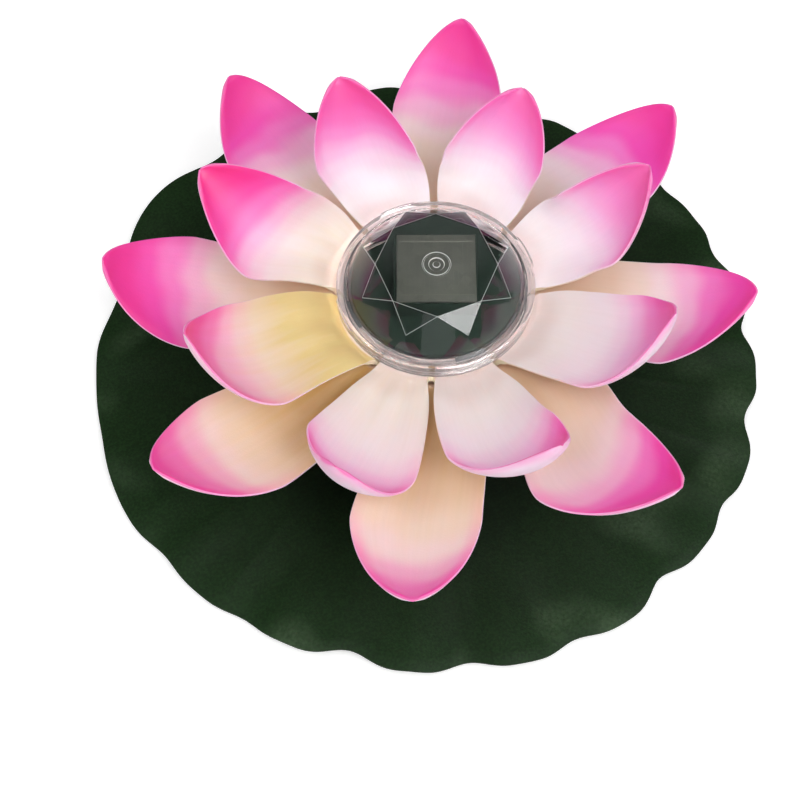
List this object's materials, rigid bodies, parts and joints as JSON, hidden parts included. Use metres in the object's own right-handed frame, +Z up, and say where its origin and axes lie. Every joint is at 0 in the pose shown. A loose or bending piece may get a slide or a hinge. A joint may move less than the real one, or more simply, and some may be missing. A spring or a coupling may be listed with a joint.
{
  "type": "floating pool light",
  "caption": "Round floating lily pad with two layers of cupped petals around a faceted clear solar lamp that lifts out, with a switch, LED and hinged battery lid underneath.",
  "frame": {"origin": "on the lamp's axis, at the flat underside of the base plate", "axes": "+Z up along the lamp's axis, +X along the battery, +Y from the lid's hinge to its latch"},
  "size_m": [0.2806, 0.2827, 0.1024],
  "materials": {
    "black_plastic": "injection-moulded ABS, fine matt texture",
    "screw_steel": "zinc-plated steel",
    "leaf_foam": "closed-cell EVA foam, dark green, matt",
    "petal_foam": "closed-cell EVA foam, airbrushed pink towards the tips",
    "clear_plastic": "clear polystyrene, polished mould",
    "solar_cell": "epoxy-coated solar cell",
    "battery_wrap": "shrink-film wrap",
    "spring_steel": "nickel-plated spring steel",
    "board_laminate": "green solder mask on fibreglass",
    "led_epoxy": "water-clear epoxy",
    "sleeve_tube": "milky insulating tube",
    "switch_shell": "tinned pressed steel",
    "chip_resin": "black moulding resin",
    "red_wire": "PVC insulation",
    "black_wire": "PVC insulation"
  },
  "bodies": {
    "flower": {"base_plate": "black_plastic", "base_screw_1": "screw_steel", "base_screw_2": "screw_steel", "base_screw_3": "screw_steel", "lily_pad": "leaf_foam", "outer_petal_layer": "petal_foam", "inner_petal_layer": "petal_foam", "lamp_cup": "clear_plastic"},
    "lamp": {"lens": "clear_plastic", "cell_tray": "black_plastic", "solar_cell": "solar_cell", "lamp_base": "black_plastic", "battery": "battery_wrap", "battery_spring": "spring_steel", "battery_contact": "spring_steel", "circuit_board": "board_laminate", "board_screw_1": "screw_steel", "board_screw_2": "screw_steel", "led": "led_epoxy", "led_lead_1": "spring_steel", "led_lead_2": "spring_steel", "led_sleeve_1": "sleeve_tube", "led_sleeve_2": "sleeve_tube", "switch_body": "switch_shell", "charge_chip": "chip_resin", "inductor": "chip_resin", "solar_wire_red": "red_wire", "solar_wire_black": "black_wire", "battery_wire_red": "red_wire", "battery_wire_black": "black_wire"},
    "lid": {"battery_lid": "black_plastic"},
    "knob": {"switch_knob": "black_plastic"}
  },
  "joints": [
    {"name": "lamp_lift", "type": "slide", "parent": "flower", "child": "lamp", "axis": [0, 0, 1], "range_m": [0, 0.06]},
    {"name": "lid_swing", "type": "hinge", "parent": "lamp", "child": "lid", "pos_m": [0, -0.0104, 0.044], "axis": [-1, 0, 0], "range_deg": [0, 50]},
    {"name": "switch_slide", "type": "slide", "parent": "lamp", "child": "knob", "axis": [1, 0, 0], "range_m": [0, 0.003]}
  ]
}
